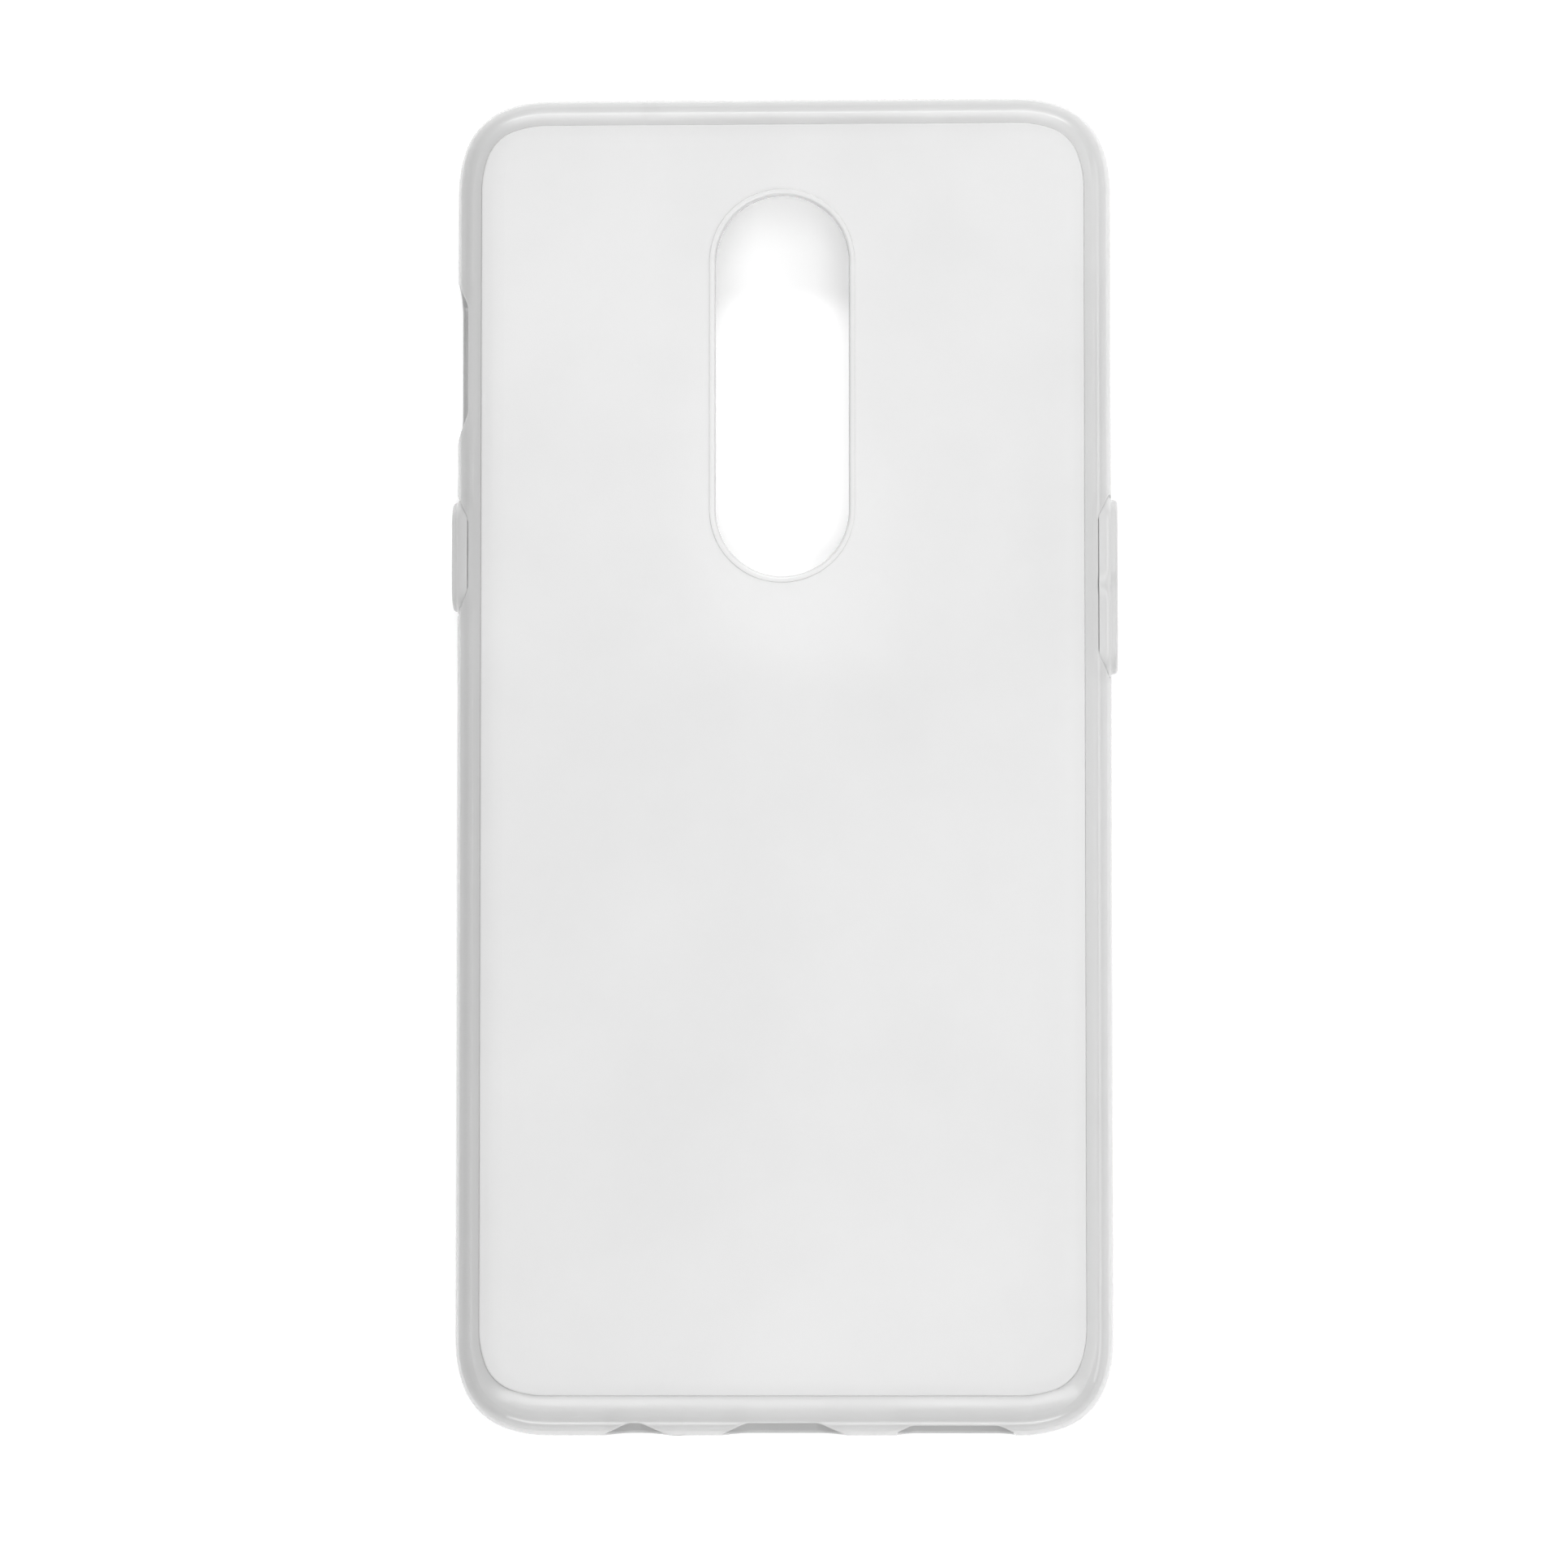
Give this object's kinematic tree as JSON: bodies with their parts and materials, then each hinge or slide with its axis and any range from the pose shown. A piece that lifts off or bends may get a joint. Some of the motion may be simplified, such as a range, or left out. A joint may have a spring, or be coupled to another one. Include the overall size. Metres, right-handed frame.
{
  "type": "phone case",
  "caption": "Soft-edged protective phone case with a frosted back, a low rim round the camera opening, covered side buttons and open ports.",
  "frame": {"origin": "middle of the case at the level of its front lip, which is what it lies on", "axes": "+Z out of the back, +Y towards the phone's top end, -X towards the power button, +X towards the volume buttons"},
  "size_m": [0.0801, 0.161, 0.0103],
  "materials": {
    "soft_frame": "glossy, slightly cloudy clear soft plastic",
    "frosted_back": "satin frosted clear hard plastic",
    "soft_trim": "satin, slightly cloudy clear soft plastic"
  },
  "bodies": {
    "case": {"bumper_frame": "soft_frame", "back_plate": "frosted_back", "camera_rim": "soft_trim", "power_button_web": "soft_trim", "volume_button_web": "soft_trim"},
    "power": {"power_button": "soft_trim"},
    "volume_up": {"volume_up_button": "soft_trim"},
    "volume_down": {"volume_down_button": "soft_trim"}
  },
  "joints": [
    {"name": "power_press", "type": "slide", "parent": "case", "child": "power", "axis": [1, 0, 0], "range_m": [0, 0.0003], "stiffness_N_per_m": 6000, "deforming": ["power_button_web"]},
    {"name": "volume_up_press", "type": "slide", "parent": "case", "child": "volume_up", "axis": [-1, 0, 0], "range_m": [0, 0.0003], "stiffness_N_per_m": 6000, "deforming": ["volume_button_web"]},
    {"name": "volume_down_press", "type": "slide", "parent": "case", "child": "volume_down", "axis": [-1, 0, 0], "range_m": [0, 0.0003], "stiffness_N_per_m": 6000, "deforming": ["volume_button_web"]}
  ]
}
